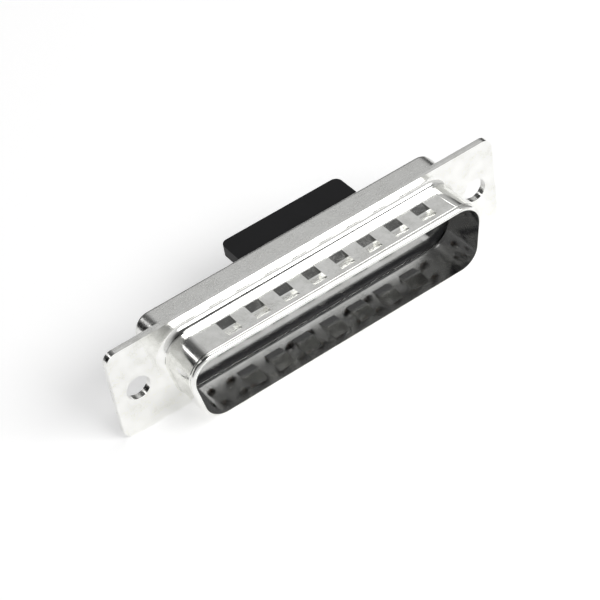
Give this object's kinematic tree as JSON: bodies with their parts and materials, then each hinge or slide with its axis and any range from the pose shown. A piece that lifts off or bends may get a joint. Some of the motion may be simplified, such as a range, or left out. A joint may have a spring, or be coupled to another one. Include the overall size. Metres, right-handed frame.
{
  "type": "d-sub plug housing",
  "caption": "D-sub plug housing with empty crimp cavities: flanged steel shells, a D-shaped shroud with grounding dents, black insulators and a ledge behind",
  "frame": {"origin": "on the front face of the flanges, midway between the two mounting holes", "axes": "X along the connector, -Y out of the mating side, +Z towards the wide side of the D"},
  "size_m": [0.053, 0.0152, 0.0126],
  "materials": {
    "front_steel": "thin sheet steel, drawn and bright tin plated, with faint scratches and smudges",
    "rear_steel": "thin sheet steel, drawn and tin plated, a little duller than the front shell",
    "front_plastic": "black glass-filled moulding with a slight gloss",
    "rear_plastic": "black glass-filled moulding with a slight gloss",
    "clip_bronze": "rolled spring bronze strip, bare"
  },
  "bodies": {
    "root": {"front_shell": "front_steel", "rear_shell": "rear_steel", "front_insulator": "front_plastic", "rear_insulator": "rear_plastic", "clip_01": "clip_bronze", "clip_02": "clip_bronze", "clip_03": "clip_bronze", "clip_04": "clip_bronze", "clip_05": "clip_bronze", "clip_06": "clip_bronze", "clip_07": "clip_bronze", "clip_08": "clip_bronze", "clip_09": "clip_bronze", "clip_10": "clip_bronze", "clip_11": "clip_bronze", "clip_12": "clip_bronze", "clip_13": "clip_bronze", "clip_14": "clip_bronze", "clip_15": "clip_bronze", "clip_16": "clip_bronze", "clip_17": "clip_bronze", "clip_18": "clip_bronze", "clip_19": "clip_bronze", "clip_20": "clip_bronze", "clip_21": "clip_bronze", "clip_22": "clip_bronze", "clip_23": "clip_bronze", "clip_24": "clip_bronze", "clip_25": "clip_bronze"}
  },
  "joints": []
}
